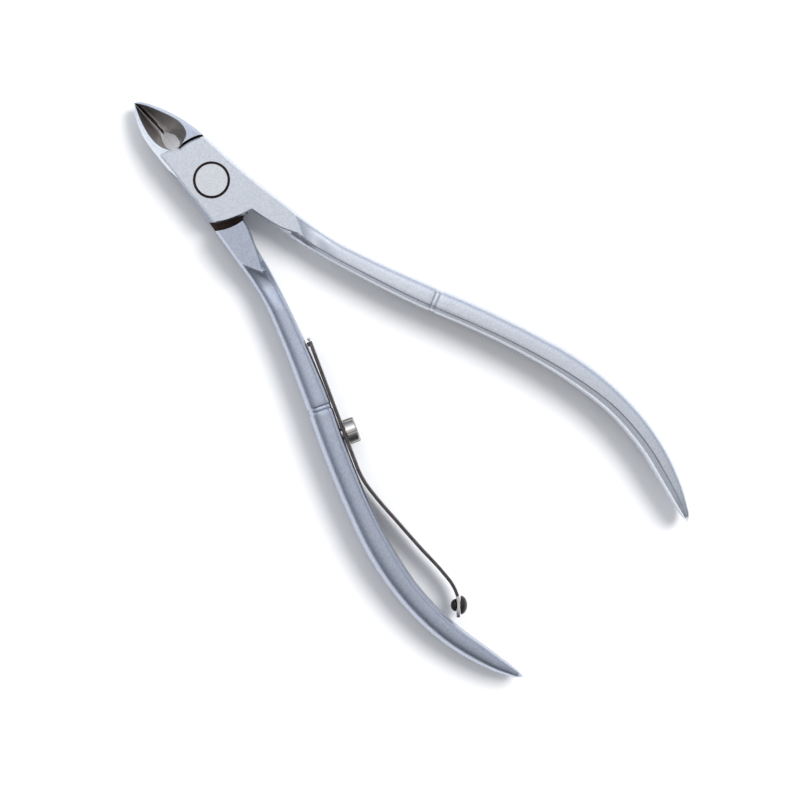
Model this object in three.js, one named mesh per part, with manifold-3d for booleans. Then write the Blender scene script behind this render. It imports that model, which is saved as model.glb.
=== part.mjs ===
// Cuticle nipper: two forged levers crossing in a lap joint, a pivot pin, and a leaf spring that
// swivels on a screw in the rear lever's handle. Millimetres.
//
// The origin is on the pivot axis, in the joint's rear face. +Z points out of the joint's front face,
// +Y points to the jaws' tip, and the front lever's handle lies on the +X side. The jaws are closed.

import * as THREE from 'three';
import { mergeVertices } from 'three/addons/utils/BufferGeometryUtils.js';
import Module from 'manifold-3d';

const wasm = await Module();
wasm.setup();

// Driving dimensions.
const JOINT_THICKNESS = 6.4;
const MID = JOINT_THICKNESS / 2;
const LAP_GAP = 0.1; // between the two half-thickness plates
const PLATE_RADIUS = 7.0; // the plates' front edge, round the pivot
const FRONT_CLEARANCE = 7.4; // where the jaws' shoulders begin
const REAR_CLEARANCE = 8.05; // where the handles' shoulders begin
const PIN_RADIUS = 2.0;
const PIN_PLAY = 0.08;
const HEAD_RADIUS = 2.6;
const HEAD_THICKNESS = 1.2;
const RING_GAP = 0.3; // round and under the pin's head
const JAW_GAP = 0.04; // from the middle plane to each cutting edge
const OVERRUN = 1.0; // how far a cutter passes the surface it cuts

const FINISHES = {
  frontSteel: { color: 0xc6ccd4, roughness: 0.4, metalness: 1 },
  rearSteel: { color: 0xb4bcc8, roughness: 0.4, metalness: 1 },
  pin: { color: 0xc8cdd4, roughness: 0.35, metalness: 1 },
  spring: { color: 0x4b4346, roughness: 0.3, metalness: 1 },
  screw: { color: 0xc9c2b8, roughness: 0.15, metalness: 1 },
  bumper: { color: 0x1c1a1b, roughness: 0.35, metalness: 0 },
};

// ---------------------------------------------------------------- solids

// A closed three.js geometry as a manifold solid.
function solidOf(geometry) {
  const bare = geometry.clone();
  bare.deleteAttribute('normal');
  bare.deleteAttribute('uv');
  const merged = mergeVertices(bare, 1e-4);
  return new wasm.Manifold(new wasm.Mesh({
    numProp: 3,
    vertProperties: new Float32Array(merged.attributes.position.array),
    triVerts: new Uint32Array(merged.index.array),
  }));
}

// A manifold solid as a named three.js mesh.
function meshOf(name, solid, finish) {
  const data = solid.getMesh();
  const geometry = new THREE.BufferGeometry();
  geometry.setAttribute('position', new THREE.BufferAttribute(data.vertProperties, 3));
  geometry.setIndex(new THREE.BufferAttribute(data.triVerts, 1));
  geometry.computeVertexNormals();
  const mesh = new THREE.Mesh(geometry, new THREE.MeshStandardMaterial(finish));
  mesh.name = name;
  return mesh;
}

// A plan outline raised from one height to another.
function prism(shape, low, high, steps = 6) {
  const geometry = new THREE.ExtrudeGeometry(shape, {
    depth: high - low,
    bevelEnabled: false,
    curveSegments: steps,
  });
  geometry.translate(0, 0, low);
  return solidOf(geometry);
}

// A cylinder round a line parallel to Z.
function pillar(radius, low, high, sides = 48) {
  const geometry = new THREE.CylinderGeometry(radius, radius, high - low, sides);
  geometry.rotateX(Math.PI / 2);
  geometry.translate(0, 0, (low + high) / 2);
  return solidOf(geometry);
}

// A closed skin over a row of rings that all have the same number of points. The rings run
// anticlockwise as seen from the far end of the row.
function loft(rings) {
  const count = rings[0].length;
  const positions = rings.flat().flatMap((point) => [point.x, point.y, point.z]);
  const faces = [];
  for (let ring = 0; ring < rings.length - 1; ring += 1) {
    for (let i = 0; i < count; i += 1) {
      const next = (i + 1) % count;
      const a = ring * count + i;
      const b = ring * count + next;
      faces.push(a, b, b + count, a, b + count, a + count);
    }
  }
  const last = (rings.length - 1) * count;
  for (let i = 1; i < count - 1; i += 1) {
    faces.push(0, i + 1, i);
    faces.push(last, last + i, last + i + 1);
  }
  const geometry = new THREE.BufferGeometry();
  geometry.setAttribute('position', new THREE.Float32BufferAttribute(positions, 3));
  geometry.setIndex(faces);
  return solidOf(geometry);
}

const point = (x, y) => new THREE.Vector2(x, y);

// ---------------------------------------------------------------- handle

// The front handle, from inside the joint to the tail: its middle line's x and y, its width across the
// plan, its height along Z, and the inner face's share of the width on the front and rear levers.
const HANDLE_STATIONS = [
  [3.2, -6.2, 3.7, 6.3, 0.2, 0.2],
  [3.8, -9.4, 3.8, 6.2, 0.3, 0.3],
  [4.6, -13.9, 3.7, 5.94, 0.36, 0.34],
  [5.6, -18.4, 3.34, 5.84, 0.26, 0.2],
  [8.5, -27.1, 3.54, 6.54, 0.24, 0.17],
  [11.9, -35.7, 3.94, 7.34, 0.21, 0.16],
  [15.5, -44.0, 3.94, 7.84, 0.21, 0.15],
  [18.7, -52.4, 3.94, 7.94, 0.23, 0.15],
  [21.2, -60.9, 4.14, 7.84, 0.28, 0.16],
  [22.4, -69.6, 3.86, 7.44, 0.36, 0.18],
  [21.8, -78.3, 3.54, 6.84, 0.4, 0.18],
  [20.4, -83.8, 3.04, 6.14, 0.45, 0.2],
  [19.0, -88.0, 1.94, 5.14, 0.52, 0.3],
  [18.2, -90.1, 0.9, 3.9, 0.56, 0.4],
  [17.9, -90.7, 0.3, 3.0, 0.58, 0.45],
];
const FRONT_HANDLE = { bow: 0, shareColumn: 4, squareness: 4.2 };
const REAR_HANDLE = { bow: 0.5, shareColumn: 5, squareness: 2.9 }; // bow moves its middle inwards
const BOW_START = -2;
const BOW_END = -86;
const BOW_FULLNESS = 0.7; // below 1, the bow reaches its full size sooner
const HANDLE_RINGS = 46;
const GROOVE_STATION = 5.27; // a fine V groove runs round the handle here, counted in stations
const GROOVE_WIDTH = 0.8;
const GROOVE_DEPTH = 0.25;
const CROWN_STEPS = 12;
const CROWN_PEAK = -0.3; // where the crown is highest, as a share of the half width
const CROWN_FALL = 0.1; // from the peak towards the crease, as a share of the half height
const PEAK_TO_CREASE = 0.04; // their least distance, as a share of the half width
const INNER_STEP = 0.14; // the inner face starts with a small step, as a share of the face's width
const STEP_SLOPE = 0.95;
const INNER_SLOPE = 0.2;
const INNER_ROUND = 0.68; // from here on the inner face rounds down to the handle's side
const INNER_SHARES = [INNER_STEP, INNER_ROUND, 0.88, 0.97];

// The upper half of the handle's section, from the outer edge over the crown and the crease to the
// inner edge. x points away from the other handle and y is the height over the middle plane.
function handleSection(width, height, innerShare, squareness) {
  const crease = 2 * innerShare - 1;
  const peak = Math.max(CROWN_PEAK, crease + PEAK_TO_CREASE);
  const power = 2 / squareness;
  const section = [];
  for (let i = 0; i <= CROWN_STEPS; i += 1) {
    const angle = (Math.PI / 2) * (i / CROWN_STEPS);
    const x = peak + (1 - peak) * Math.cos(angle) ** power;
    section.push(point((x * width) / 2, (Math.sin(angle) ** power * height) / 2));
  }
  const creaseHeight = (height / 2) * (1 - CROWN_FALL * ((peak - crease) / (1 + peak)) ** 2);
  const inner = width * innerShare;
  const creaseX = (crease * width) / 2;
  section.push(point(creaseX, creaseHeight));
  INNER_SHARES.forEach((share) => {
    const step = STEP_SLOPE * Math.min(share, INNER_STEP);
    const slope = INNER_SLOPE * Math.max(share - INNER_STEP, 0);
    const round = Math.max((share - INNER_ROUND) / (1 - INNER_ROUND), 0);
    const y = (creaseHeight - inner * (step + slope)) * Math.sqrt(1 - round ** 2);
    section.push(point(creaseX - share * inner, y));
  });
  section.push(point(-width / 2, 0));
  return section;
}

// A whole section in place. across points away from the other handle.
function handleRing(centre, across, section) {
  const under = section.slice(1, -1).reverse().map(({ x, y }) => point(x, -y));
  return [...section, ...under].map(({ x, y }) => new THREE.Vector3(
    centre.x + across.x * x,
    centre.y + across.y * x,
    MID + y,
  ));
}

// How much of a handle's bow applies at a height along the tool: none at its ends.
function bowShare(y) {
  const share = THREE.MathUtils.clamp((BOW_START - y) / (BOW_START - BOW_END), 0, 1);
  return Math.sin(Math.PI * share) ** BOW_FULLNESS;
}

// One handle, drawn as the front lever's.
function handle({ bow, shareColumn, squareness }) {
  const line = new THREE.CatmullRomCurve3(HANDLE_STATIONS.map(
    ([x, y]) => new THREE.Vector3(x - bow * bowShare(y), y, 0),
  ));
  const sizes = new THREE.CatmullRomCurve3(HANDLE_STATIONS.map(
    (row) => new THREE.Vector3(row[2], row[3], row[shareColumn]),
  ));
  const grooveT = GROOVE_STATION / (HANDLE_STATIONS.length - 1);
  const halfT = GROOVE_WIDTH / 2 / line.getLength();
  const places = Array.from({ length: HANDLE_RINGS + 1 }, (_, i) => ({ t: i / HANDLE_RINGS, cut: 0 }))
    .filter(({ t }) => Math.abs(t - grooveT) > 2 * halfT);
  places.push({ t: grooveT - halfT, cut: 0 }, { t: grooveT, cut: GROOVE_DEPTH });
  places.push({ t: grooveT + halfT, cut: 0 });
  places.sort((a, b) => a.t - b.t);
  return loft(places.map(({ t, cut }) => {
    const tangent = line.getTangent(t);
    const across = point(-tangent.y, tangent.x);
    const size = sizes.getPoint(t);
    const section = handleSection(size.x - cut, size.y - 2 * cut, size.z, squareness);
    return handleRing(line.getPoint(t), across, section);
  }));
}

// ---------------------------------------------------------------- joint

// The front lever's half of the lap joint in plan: round the pivot at the front, and down to the
// notch where its handle leaves.
const SHANK_END = [point(6.2, -11.9), point(4.6, -15.7)]; // the flat face ends in this diagonal
const SHANK_CORNER = point(5.0, -4.5); // where the shank's outer edge meets the plate's
const PLATE_NOTCH = [point(1.5, -7.78), point(2.0, -10.0), point(2.8, -12.8)];
const SHANK_OVERLAP = 1.0; // how far the shank's outline reaches into the plate
const PLATE_START = point(3.97, 5.8); // the front edge's round starts in this direction

function plateOutline() {
  const shape = new THREE.Shape();
  const startAngle = Math.atan2(PLATE_START.y, PLATE_START.x);
  shape.moveTo(PLATE_RADIUS * Math.cos(startAngle), PLATE_RADIUS * Math.sin(startAngle));
  shape.absarc(0, 0, PLATE_RADIUS, startAngle, Math.PI / 2, false);
  shape.splineThru([point(-1.1, 7.7), point(-2.1, 8.2), point(-3.1, 8.45)]);
  shape.splineThru([point(-3.38, 7.2), point(-3.5, 5.2), point(-3.75, 2.9), point(-4.1, -2.2)]);
  shape.lineTo(-4.38, -4.95);
  shape.splineThru([point(-2.57, -6.22), point(-0.2, -7.2), PLATE_NOTCH[0]]);
  shape.splineThru([PLATE_NOTCH[1], PLATE_NOTCH[2], SHANK_END[1]]);
  shape.lineTo(SHANK_END[0].x, SHANK_END[0].y);
  shape.lineTo(SHANK_CORNER.x, SHANK_CORNER.y);
  shape.splineThru([point(4.45, 0.3), point(4.07, 5.3)]);
  shape.closePath();
  return shape;
}

// The flat part of a shank that runs through the whole thickness, in plan. inner is its edge on the
// side of the other handle.
function shankOutline(inner) {
  const shape = new THREE.Shape();
  shape.moveTo(inner[0].x, inner[0].y + SHANK_OVERLAP);
  shape.lineTo(inner[0].x, inner[0].y);
  shape.splineThru([...inner.slice(1), SHANK_END[1]]);
  shape.lineTo(SHANK_END[0].x, SHANK_END[0].y);
  shape.lineTo(SHANK_CORNER.x, SHANK_CORNER.y);
  shape.closePath();
  return shape;
}

// The rear lever's shoulder reaches further in than the front lever's notch.
const REAR_SHOULDER = [point(0.7, -7.9), point(1.0, -9.3), point(1.8, -11.3), point(2.5, -13.6)];

// ---------------------------------------------------------------- jaws

const JAW_ROOT = 2.95; // the jaws run back into their joint plates this far
const JAW_LINE = -0.6; // the cutting edges meet this far beside the pivot axis
const TIP = point(-0.48, 17.63);

// Both jaws' common outline in plan.
function jawsOutline() {
  const shape = new THREE.Shape();
  shape.moveTo(-3.5, JAW_ROOT);
  shape.lineTo(3.5, JAW_ROOT);
  shape.splineThru([point(3.93, 5.6), point(3.87, 7.1), point(3.33, 10.0), point(2.4, 13.0)]);
  shape.splineThru([point(1.4, 15.4), point(0.4, 17.0), TIP]);
  shape.splineThru([point(-1.15, 17.0), point(-2.22, 15.4), point(-3.12, 13.0), point(-3.6, 10.0)]);
  shape.splineThru([point(-3.93, 7.1), point(-3.98, 5.6), point(-3.5, JAW_ROOT)]);
  return shape;
}

// The jaws' profile seen from the side, in Y and Z: a wedge that thins to the tip.
const ROOT_HEIGHTS = { top: JOINT_THICKNESS, bottom: 0 };
const TIP_HEIGHTS = { top: 3.0, bottom: 1.7 };
const FLAT_END = 7.6; // where the top starts to fall
const FACE_START = 8.8; // where the underside starts to rise
const JAW_REACH = 12; // wider than the jaws

function jawsProfile() {
  const shape = new THREE.Shape();
  const end = TIP.y + OVERRUN;
  shape.moveTo(JAW_ROOT - OVERRUN, ROOT_HEIGHTS.bottom);
  shape.lineTo(FACE_START, ROOT_HEIGHTS.bottom);
  shape.quadraticCurveTo(12.7, 0.35, end, TIP_HEIGHTS.bottom);
  shape.lineTo(end, TIP_HEIGHTS.top);
  shape.quadraticCurveTo(13.0, 5.4, FLAT_END, ROOT_HEIGHTS.top);
  shape.lineTo(JAW_ROOT - OVERRUN, ROOT_HEIGHTS.top);
  shape.closePath();
  const geometry = new THREE.ExtrudeGeometry(shape, {
    depth: 2 * JAW_REACH,
    bevelEnabled: false,
    curveSegments: 8,
  });
  geometry.translate(0, 0, -JAW_REACH);
  // The shape's x and y become Y and Z, and the extrusion runs along X.
  geometry.applyMatrix4(new THREE.Matrix4().set(
    0, 0, 1, 0,
    1, 0, 0, 0,
    0, 1, 0, 0,
    0, 0, 0, 1,
  ));
  return solidOf(geometry);
}

// The hollow between the jaws, a leaf-shaped bowl open to the top: y, the rims on the left and right,
// and the height of its floor, which leaves the cutting edges thin.
const HOLLOW_STATIONS = [
  [7.3, -0.8, 0.2, 5.5],
  [7.75, -1.35, 1.7, 4.9],
  [8.4, -1.88, 2.32, 4.1],
  [9.6, -2.34, 2.6, 2.7],
  [10.8, -2.43, 2.5, 1.4],
  [11.8, -2.4, 2.25, 0.8],
  [13.0, -2.2, 1.8, 0.85],
  [14.2, -1.88, 1.32, 1.05],
  [15.4, -1.48, 0.8, 1.4],
  [16.4, -1.08, 0.28, 1.9],
  [17.1, -0.8, -0.3, 2.6],
];
const HOLLOW_STEPS = 8;
const HOLLOW_LID = 9.0;
const RIM_HEIGHT = JOINT_THICKNESS + 0.2; // the bowl's rim, just over the jaws' top at their root
const TOP_FALL = 0.36; // how fast the jaws' top edge falls towards the tip
const BOWL_FULLNESS = 0.8; // below 1, the bowl's walls are steeper and its floor is flatter

// A bowl section: a rounded floor from rim to rim, closed by a flat lid above the jaws.
function hollowRing([y, left, right, floor]) {
  const rim = RIM_HEIGHT - TOP_FALL * Math.max(0, y - FLAT_END);
  const ring = [];
  for (let i = 0; i <= HOLLOW_STEPS; i += 1) {
    const share = 1 - (2 * i) / HOLLOW_STEPS;
    const reach = share > 0 ? right - JAW_LINE : JAW_LINE - left;
    const fall = Math.cos((Math.PI / 2) * share) ** BOWL_FULLNESS;
    ring.push(new THREE.Vector3(JAW_LINE + reach * share, y, rim + (floor - rim) * fall));
  }
  ring.push(new THREE.Vector3(left, y, HOLLOW_LID));
  ring.push(new THREE.Vector3(right, y, HOLLOW_LID));
  return ring;
}

const jawPair = prism(jawsOutline(), -OVERRUN, JOINT_THICKNESS + OVERRUN, 5)
  .intersect(jawsProfile())
  .subtract(loft(HOLLOW_STATIONS.map(hollowRing)));

// One jaw. side is -1 for the front lever's jaw and +1 for the rear lever's.
function jaw(side) {
  const box = new THREE.BoxGeometry(JAW_REACH, 3 * JAW_REACH, 3 * JAW_REACH);
  box.translate(JAW_LINE + side * (JAW_GAP + JAW_REACH / 2), JAW_REACH, MID);
  return jawPair.intersect(solidOf(box));
}

// ---------------------------------------------------------------- levers

const HALF_TURN = new THREE.Matrix4().makeRotationY(Math.PI)
  .premultiply(new THREE.Matrix4().makeTranslation(0, 0, JOINT_THICKNESS));

// The rear lever's joint half and handle are the front lever's, turned half a turn about the tool's
// axis.
function turned(solid) {
  return solid.transform(HALF_TURN.elements);
}

// The room that one lever leaves for the other's joint plate, below the front lever's plate.
function clearance() {
  const halfRing = (radius, start) => {
    const shape = new THREE.Shape();
    shape.moveTo(radius * Math.cos(start), radius * Math.sin(start));
    shape.absarc(0, 0, radius, start, start + Math.PI, false);
    shape.closePath();
    return prism(shape, -OVERRUN, MID + LAP_GAP / 2, 24);
  };
  return halfRing(FRONT_CLEARANCE, 0).add(halfRing(REAR_CLEARANCE, Math.PI));
}

// A lever without its jaw, drawn as the front lever's.
function leverBody(inner, handleKind) {
  const plate = prism(plateOutline(), MID + LAP_GAP / 2, JOINT_THICKNESS);
  const shank = prism(shankOutline(inner), 0, JOINT_THICKNESS).add(handle(handleKind));
  return plate
    .add(shank.subtract(clearance()))
    .subtract(pillar(PIN_RADIUS + PIN_PLAY, -OVERRUN, JOINT_THICKNESS + OVERRUN));
}

const headSeat = pillar(
  HEAD_RADIUS + RING_GAP,
  JOINT_THICKNESS - HEAD_THICKNESS - RING_GAP,
  JOINT_THICKNESS + OVERRUN,
);

const frontLever = leverBody(PLATE_NOTCH, FRONT_HANDLE)
  .add(jaw(-1).subtract(clearance()))
  .subtract(headSeat);

const rearLever = turned(leverBody(REAR_SHOULDER, REAR_HANDLE))
  .add(jaw(1).subtract(turned(clearance())));

// ---------------------------------------------------------------- pin

// The pin's outline from its riveted rear end to its head, turned round the pivot axis.
function pivotPin() {
  const geometry = new THREE.LatheGeometry([
    point(0, 0),
    point(PIN_RADIUS, 0),
    point(PIN_RADIUS, JOINT_THICKNESS - HEAD_THICKNESS),
    point(HEAD_RADIUS, JOINT_THICKNESS - HEAD_THICKNESS),
    point(HEAD_RADIUS, JOINT_THICKNESS),
    point(0, JOINT_THICKNESS),
  ], 48);
  geometry.rotateX(Math.PI / 2);
  return solidOf(geometry);
}

// ---------------------------------------------------------------- leaf spring

// The spring screw's axis crosses the leaf's middle line here, square to it.
const SCREW_CENTRE = point(-12.1, -43.35);
const LEAF_TURN = Math.atan2(-0.923, -0.385); // the leaf's straight part, away from the joint
const LEAF_THICKNESS = 0.5;
const LEAF_WIDTH = 4.8;
const LEAF_END_WIDTH = 3.4;
const SHORT_LEG = 15.5; // from the screw to the leaf's folded end
const FOOT_LENGTH = 0.35; // how far the folded foot stands out of the leaf's back face
const FOOT_SIZE = 0.6;
const LEAF_RINGS = 44;
const TAPER_START = 0.45; // where the leaf starts to narrow, as a share of its length
const TURNED_SIDES = 32;

// A place in plan measured from the screw: along the leaf away from the joint, and out from the rear
// handle.
function onLeaf(along, out) {
  const x = Math.cos(LEAF_TURN) * along - Math.sin(LEAF_TURN) * out;
  const y = Math.sin(LEAF_TURN) * along + Math.cos(LEAF_TURN) * out;
  return point(SCREW_CENTRE.x + x, SCREW_CENTRE.y + y);
}

// The leaf's middle line: straight past the screw, bent off the handle, straight again, and curled
// back at the bumper.
const LEAF_LINE = new THREE.CatmullRomCurve3([
  onLeaf(-SHORT_LEG, 0),
  onLeaf(0, 0),
  onLeaf(4.5, 0),
  onLeaf(6.6, 0.04),
  onLeaf(8.6, 0.34),
  onLeaf(11.0, 1.05),
  onLeaf(16.0, 2.9),
  onLeaf(26.2, 6.9),
  onLeaf(28.5, 7.6),
  onLeaf(30.4, 7.7),
  onLeaf(33.6, 6.65),
].map(({ x, y }) => new THREE.Vector3(x, y, 0)), false, 'centripetal');

// The leaf is a flat strip on edge, narrower at the bumper.
function leafStrip() {
  return loft(Array.from({ length: LEAF_RINGS + 1 }, (_, i) => {
    const share = i / LEAF_RINGS;
    const centre = LEAF_LINE.getPointAt(share);
    const side = sideways(share).multiplyScalar(LEAF_THICKNESS / 2);
    const taper = THREE.MathUtils.smoothstep(share, TAPER_START, 1);
    const half = THREE.MathUtils.lerp(LEAF_WIDTH, LEAF_END_WIDTH, taper) / 2;
    return [
      new THREE.Vector3(centre.x - side.x, centre.y - side.y, MID - half),
      new THREE.Vector3(centre.x + side.x, centre.y + side.y, MID - half),
      new THREE.Vector3(centre.x + side.x, centre.y + side.y, MID + half),
      new THREE.Vector3(centre.x - side.x, centre.y - side.y, MID + half),
    ];
  }));
}

// The leaf's outward direction at a share of its length, away from the rear handle.
function sideways(share) {
  const tangent = LEAF_LINE.getTangentAt(share);
  return point(-tangent.y, tangent.x);
}

// The folded foot at the leaf's short end.
function leafFoot() {
  const length = LEAF_THICKNESS / 2 + FOOT_LENGTH;
  const box = new THREE.BoxGeometry(FOOT_SIZE, length, LEAF_END_WIDTH);
  box.translate(FOOT_SIZE / 2 - SHORT_LEG, -length / 2, 0);
  box.rotateZ(LEAF_TURN);
  box.translate(SCREW_CENTRE.x, SCREW_CENTRE.y, MID);
  return solidOf(box);
}

// A turned profile, given as radius and distance along an axis in plan that starts at a centre. Its
// facets straddle the middle plane, so that no corner falls on the handle's ridge.
function turnedAlong(profile, centre, direction) {
  const outline = profile.map(([radius, far]) => point(radius, far));
  const geometry = new THREE.LatheGeometry(outline, TURNED_SIDES, Math.PI / TURNED_SIDES);
  geometry.rotateZ(Math.atan2(direction.y, direction.x) - Math.PI / 2);
  geometry.translate(centre.x, centre.y, MID);
  return solidOf(geometry);
}

// ---------------------------------------------------------------- spring screw

const SHANK_RADIUS = 1.0;
const SHANK_DEPTH = 3.3; // from the leaf's middle line into the handle
const SCREW_HEAD_RADIUS = 2.05;
const SCREW_HEAD_HEIGHT = 1.75;
const SCREW_CHAMFER = 0.2;
const SCREW_SLOT = { width: 0.55, depth: 0.7 };
const SCREW_PLAY = 0.1; // round the shank and under the head
const SCREW_AXIS = sideways(SHORT_LEG / LEAF_LINE.getLength());

function shaft(radius, from, to) {
  return turnedAlong([[0, from], [radius, from], [radius, to], [0, to]], SCREW_CENTRE, SCREW_AXIS);
}

function springScrew() {
  const seat = LEAF_THICKNESS / 2 + SCREW_PLAY;
  const top = seat + SCREW_HEAD_HEIGHT;
  const head = turnedAlong([
    [0, -SHANK_DEPTH],
    [SHANK_RADIUS, -SHANK_DEPTH],
    [SHANK_RADIUS, seat],
    [SCREW_HEAD_RADIUS, seat],
    [SCREW_HEAD_RADIUS, top - SCREW_CHAMFER],
    [SCREW_HEAD_RADIUS - SCREW_CHAMFER, top],
    [0, top],
  ], SCREW_CENTRE, SCREW_AXIS);
  const slot = new THREE.BoxGeometry(SCREW_SLOT.depth * 2, SCREW_HEAD_RADIUS * 3, SCREW_SLOT.width);
  slot.translate(top, 0, 0);
  slot.rotateZ(Math.atan2(SCREW_AXIS.y, SCREW_AXIS.x));
  slot.translate(SCREW_CENTRE.x, SCREW_CENTRE.y, MID);
  return head.subtract(solidOf(slot));
}

// ---------------------------------------------------------------- bumper

const BUMPER_PLACE = 0.963; // along the leaf's middle line, as a share of its length
const DOME = { radius: 1.5, height: 1.05 }; // faces the other handle
const BUTTON = { radius: 1.0, height: 0.9 }; // faces the rear handle
const NECK_RADIUS = 0.6;
const BUMPER_PLAY = 0.08;
const DOME_STEPS = 8;
const DOME_POINTEDNESS = 1.2; // above 1, a dome's crown is sharper than a ball's

const bumperCentre = LEAF_LINE.getPointAt(BUMPER_PLACE);
const bumperAxis = sideways(BUMPER_PLACE);

// A dome's profile from its rim to its crown, starting at a distance along the axis.
function domeProfile({ radius, height }, base, sign) {
  return Array.from({ length: DOME_STEPS + 1 }, (_, i) => {
    const angle = (Math.PI / 2) * (i / DOME_STEPS);
    return [radius * Math.cos(angle), sign * (base + height * Math.sin(angle) ** DOME_POINTEDNESS)];
  });
}

function bumper() {
  const base = LEAF_THICKNESS / 2 + BUMPER_PLAY;
  const profile = [
    ...domeProfile(BUTTON, base, -1).reverse(),
    [NECK_RADIUS, -base],
    [NECK_RADIUS, base],
    ...domeProfile(DOME, base, 1),
  ];
  profile[0][0] = 0;
  profile[profile.length - 1][0] = 0;
  return turnedAlong(profile, bumperCentre, bumperAxis);
}

function bumperHole() {
  const radius = NECK_RADIUS + BUMPER_PLAY;
  const profile = [[0, -OVERRUN], [radius, -OVERRUN], [radius, OVERRUN], [0, OVERRUN]];
  return turnedAlong(profile, bumperCentre, bumperAxis);
}

const leafSpring = leafStrip()
  .add(leafFoot())
  .subtract(shaft(SHANK_RADIUS + SCREW_PLAY, -OVERRUN, OVERRUN))
  .subtract(bumperHole());

const rearLeverWithHole = rearLever
  .subtract(shaft(SHANK_RADIUS + SCREW_PLAY, -SHANK_DEPTH - SCREW_PLAY, OVERRUN));

// ---------------------------------------------------------------- the whole tool

export default new THREE.Group().add(
  meshOf('front_lever', frontLever, FINISHES.frontSteel),
  meshOf('rear_lever', rearLeverWithHole, FINISHES.rearSteel),
  meshOf('pivot_pin', pivotPin(), FINISHES.pin),
  meshOf('leaf_spring', leafSpring, FINISHES.spring),
  meshOf('spring_screw', springScrew(), FINISHES.screw),
  meshOf('bumper', bumper(), FINISHES.bumper),
);
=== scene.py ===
import math

import bpy
import numpy as np
from mathutils import Matrix, Vector


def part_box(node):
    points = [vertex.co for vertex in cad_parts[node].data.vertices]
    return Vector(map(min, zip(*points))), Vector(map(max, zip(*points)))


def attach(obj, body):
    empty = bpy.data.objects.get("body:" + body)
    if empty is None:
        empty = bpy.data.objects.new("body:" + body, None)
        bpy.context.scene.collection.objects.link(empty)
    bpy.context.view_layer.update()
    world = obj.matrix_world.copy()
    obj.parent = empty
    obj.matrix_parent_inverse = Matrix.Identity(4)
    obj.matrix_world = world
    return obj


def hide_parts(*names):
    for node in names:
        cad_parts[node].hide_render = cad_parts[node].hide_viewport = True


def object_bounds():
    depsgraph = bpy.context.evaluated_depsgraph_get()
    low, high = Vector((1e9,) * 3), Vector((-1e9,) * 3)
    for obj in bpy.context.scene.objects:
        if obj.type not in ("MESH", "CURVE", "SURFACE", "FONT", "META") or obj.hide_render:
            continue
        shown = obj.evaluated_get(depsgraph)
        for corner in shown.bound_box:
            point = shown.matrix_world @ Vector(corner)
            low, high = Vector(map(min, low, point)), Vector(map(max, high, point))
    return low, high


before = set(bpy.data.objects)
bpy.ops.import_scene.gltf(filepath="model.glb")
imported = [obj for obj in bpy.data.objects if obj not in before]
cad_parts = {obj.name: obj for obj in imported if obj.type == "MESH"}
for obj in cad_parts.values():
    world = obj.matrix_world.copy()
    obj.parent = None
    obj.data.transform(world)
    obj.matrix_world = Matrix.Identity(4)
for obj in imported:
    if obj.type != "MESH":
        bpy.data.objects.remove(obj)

# Cuticle nipper. Every shape is worked out in millimetres in the CAD model's frame and scaled to metres
# when its mesh is finished. The origin is on the pivot axis, +Y points to the jaws' tip and the front
# lever's handle lies on the +X side. A lever's joint half, shank and handle are drawn once, as the
# front lever's; the rear lever's are turned half a turn about the tool's axis.

cad_low, cad_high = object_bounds()
METRES = 0.001
PER_METRE = 1000.0


def node_box(name):
    """The lowest and highest corners of a CAD node, in millimetres."""
    low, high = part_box(name)
    return np.array(low) * PER_METRE, np.array(high) * PER_METRE


# ---------------------------------------------------------------- sizes

pin_low, pin_high = node_box("pivot_pin")
screw_low, screw_high = node_box("spring_screw")
THICK = pin_high[2]  # the whole joint
MID = THICK / 2
HEAD_RADIUS = (pin_high[0] - pin_low[0]) / 2
FLOOR_Z = cad_low.z * PER_METRE
TAIL = -cad_low.y * PER_METRE  # from the pivot to the handles' ends

LAP_GAP = 0.1
PLATE_RADIUS = 7.0
FRONT_CLEARANCE = 7.4
REAR_CLEARANCE = 8.05
PIN_RADIUS = 2.0
PIN_PLAY = 0.08
OVERRUN = 1.0

SHARP = math.radians(27)


# ---------------------------------------------------------------- curves

def through(knots, values):
    """A smooth function through values at rising knots."""
    knots = np.asarray(knots, float)
    values = np.asarray(values, float)
    slopes = np.gradient(values, knots, axis=0)

    def at(place):
        place = min(max(place, knots[0]), knots[-1])
        i = int(np.clip(np.searchsorted(knots, place, side="right") - 1, 0, len(knots) - 2))
        span = knots[i + 1] - knots[i]
        s = (place - knots[i]) / span
        start = (1 + 2 * s) * (1 - s) ** 2 * values[i] + s * (1 - s) ** 2 * span * slopes[i]
        end = s * s * (3 - 2 * s) * values[i + 1] + s * s * (s - 1) * span * slopes[i + 1]
        return start + end

    return at


def curve_points(points, steps):
    """Points along a smooth plan curve, evenly spaced along its straight-line length."""
    points = np.asarray(points, float)
    lengths = np.concatenate([[0], np.cumsum(np.linalg.norm(np.diff(points, axis=0), axis=1))])
    at = through(lengths, points)
    return [at(place) for place in np.linspace(0, lengths[-1], steps)]


def ease(share):
    share = min(max(share, 0.0), 1.0)
    return share * share * (3 - 2 * share)


def mix(a, b, share):
    return a + (b - a) * share


# ---------------------------------------------------------------- meshes

def new_piece(name, points, faces):
    mesh = bpy.data.meshes.new(name)
    mesh.from_pydata([tuple(p) for p in points], [], faces)
    mesh.validate()
    piece = bpy.data.objects.new(name, mesh)
    bpy.context.scene.collection.objects.link(piece)
    return piece


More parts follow.
